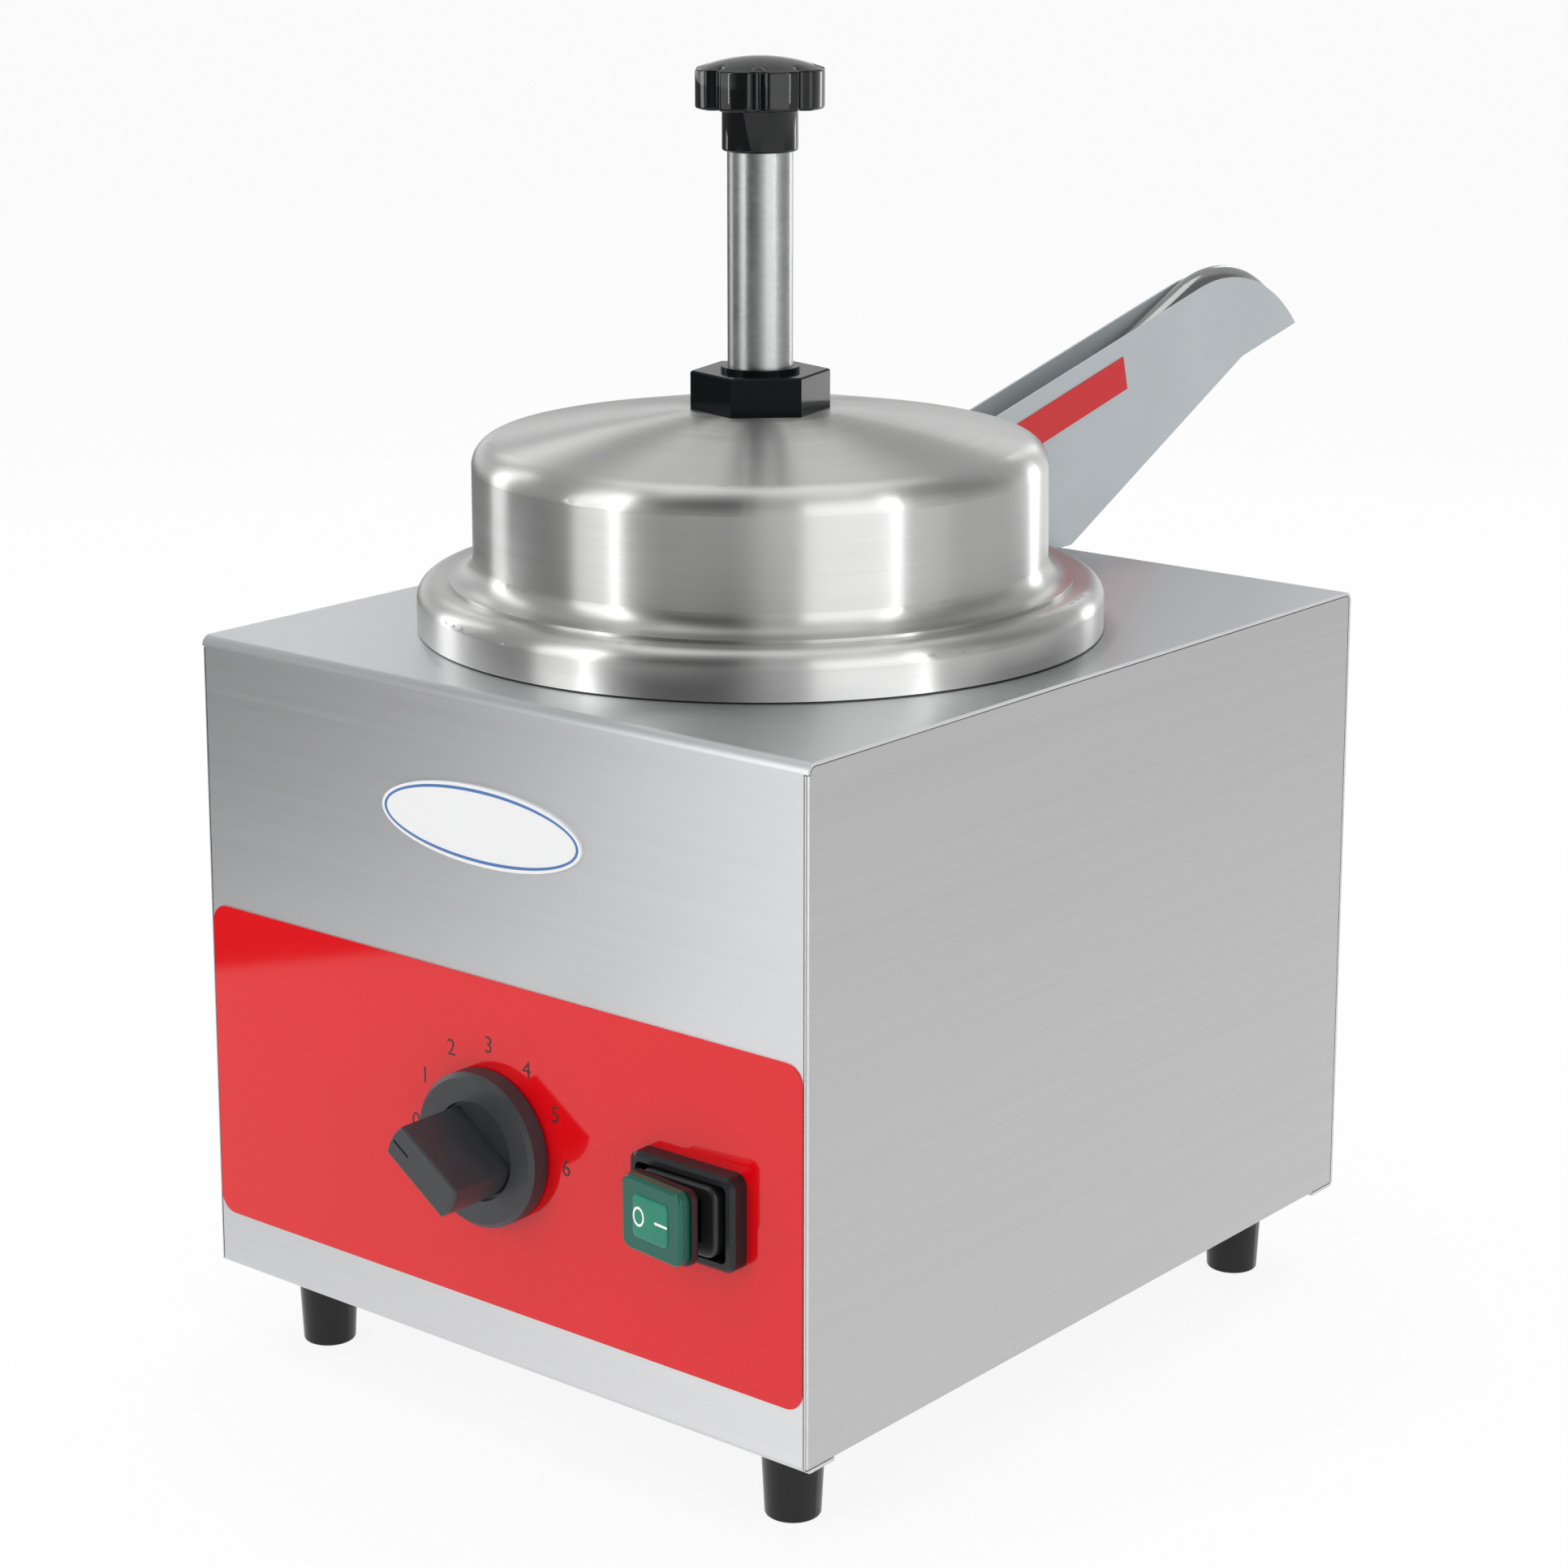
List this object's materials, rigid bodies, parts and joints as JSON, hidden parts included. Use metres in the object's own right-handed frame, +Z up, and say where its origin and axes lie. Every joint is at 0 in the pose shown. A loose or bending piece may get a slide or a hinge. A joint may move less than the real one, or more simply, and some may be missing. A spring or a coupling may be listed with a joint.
{
  "type": "hot topping warmer",
  "caption": "Brushed steel counter warmer with a heated round well, food jar, hand-pump lid and heated spout shroud, with a rotary thermostat and rocker switch on a red front film.",
  "frame": {"origin": "middle of the bounding box in plan, on the surface the feet stand on", "axes": "+Z up, -Y towards the front with the controls, +Y towards the spout, +X to the right as seen from the front"},
  "size_m": [0.23, 0.4376, 0.3907],
  "materials": {
    "steel_brushed": "brushed",
    "steel_satin": "satin",
    "steel_polished": "polished",
    "steel_inner": "plain",
    "steel_zinc": "zinc plated",
    "element_sheath": "oxidised",
    "film_red": "glossy film",
    "label_red": "glossy film",
    "badge_white": "glossy",
    "plastic_gloss_black": "glossy",
    "plastic_matte_black": "fine grain",
    "plastic_white": "moulded",
    "phenolic_brown": "moulded",
    "cap_green": "translucent",
    "rubber_black": "matte",
    "silicone_clear": "matte",
    "silicone_red": "matte",
    "mineral_wool": "fibrous",
    "copper": "drawn",
    "lead_insulation": "sleeved"
  },
  "bodies": {
    "housing": {"housing_wrap": "steel_brushed", "side_panel_left": "steel_brushed", "side_panel_right": "steel_brushed", "bottom_plate": "steel_inner", "feet": "rubber_black", "foot_fasteners": "steel_zinc", "plate_screws": "steel_zinc", "control_overlay": "film_red", "badge_plate": "badge_white", "well_collar": "steel_brushed", "collar_gasket": "rubber_black", "well_vessel": "steel_inner", "insulation_jacket": "mineral_wool", "heating_element": "element_sheath", "clamp_plate": "steel_inner", "clamp_fasteners": "steel_zinc", "high_limit_cutout": "phenolic_brown", "thermostat_body": "phenolic_brown", "thermostat_screws": "steel_zinc", "thermostat_bulb": "copper", "capillary_tube": "copper", "switch_frame": "plastic_matte_black", "switch_body": "plastic_matte_black", "switch_boot": "rubber_black", "terminal_block": "plastic_white", "block_screws": "steel_zinc", "cord_gland": "plastic_matte_black", "gland_nut": "plastic_matte_black", "earth_stud": "steel_zinc", "spout_shroud": "steel_satin", "shroud_fasteners": "steel_zinc", "spout_heater": "silicone_red", "shroud_label": "label_red", "heater_leads": "lead_insulation", "switch_leads": "lead_insulation", "earth_lead": "lead_insulation", "spout_heater_lead": "lead_insulation"},
    "jar": {"food_jar": "steel_brushed"},
    "lid": {"lid_shell": "steel_brushed", "lid_seal": "silicone_clear", "cylinder_head": "plastic_white", "lid_nut": "plastic_gloss_black", "guide_bush": "plastic_gloss_black", "pump_cylinder": "steel_inner", "valve_body": "plastic_white", "inlet_ball": "steel_polished", "discharge_tube": "steel_polished", "coupling_nut": "steel_inner", "return_spring": "steel_inner", "tube_grommet": "silicone_clear"},
    "plunger": {"plunger_tube": "steel_polished", "piston": "plastic_white", "piston_seals": "silicone_clear", "star_knob": "plastic_gloss_black", "knob_stud": "steel_zinc"},
    "knob": {"thermostat_knob": "plastic_matte_black", "thermostat_shaft": "steel_zinc"},
    "rocker": {"rocker_lever": "rubber_black", "rocker_cap": "cap_green"}
  },
  "joints": [
    {"name": "jar_lift", "type": "slide", "parent": "housing", "child": "jar", "axis": [0, 0, 1], "range_m": [0, 0.2]},
    {"name": "lid_lift", "type": "slide", "parent": "jar", "child": "lid", "axis": [0, 0, 1], "range_m": [0, 0.22]},
    {"name": "plunger_press", "type": "slide", "parent": "lid", "child": "plunger", "axis": [0, 0, -1], "range_m": [0, 0.056], "stiffness_N_per_m": 300, "springref_m": -0.03, "deforming": ["return_spring"]},
    {"name": "thermostat_turn", "type": "hinge", "parent": "housing", "child": "knob", "pos_m": [0, -0.19079, 0.0914], "axis": [0, 1, 0], "range_deg": [-34, 146]},
    {"name": "switch_rock", "type": "hinge", "parent": "housing", "child": "rocker", "pos_m": [0.076, -0.18979, 0.0923], "axis": [0, 0, 1], "range_deg": [0, 15]}
  ]
}
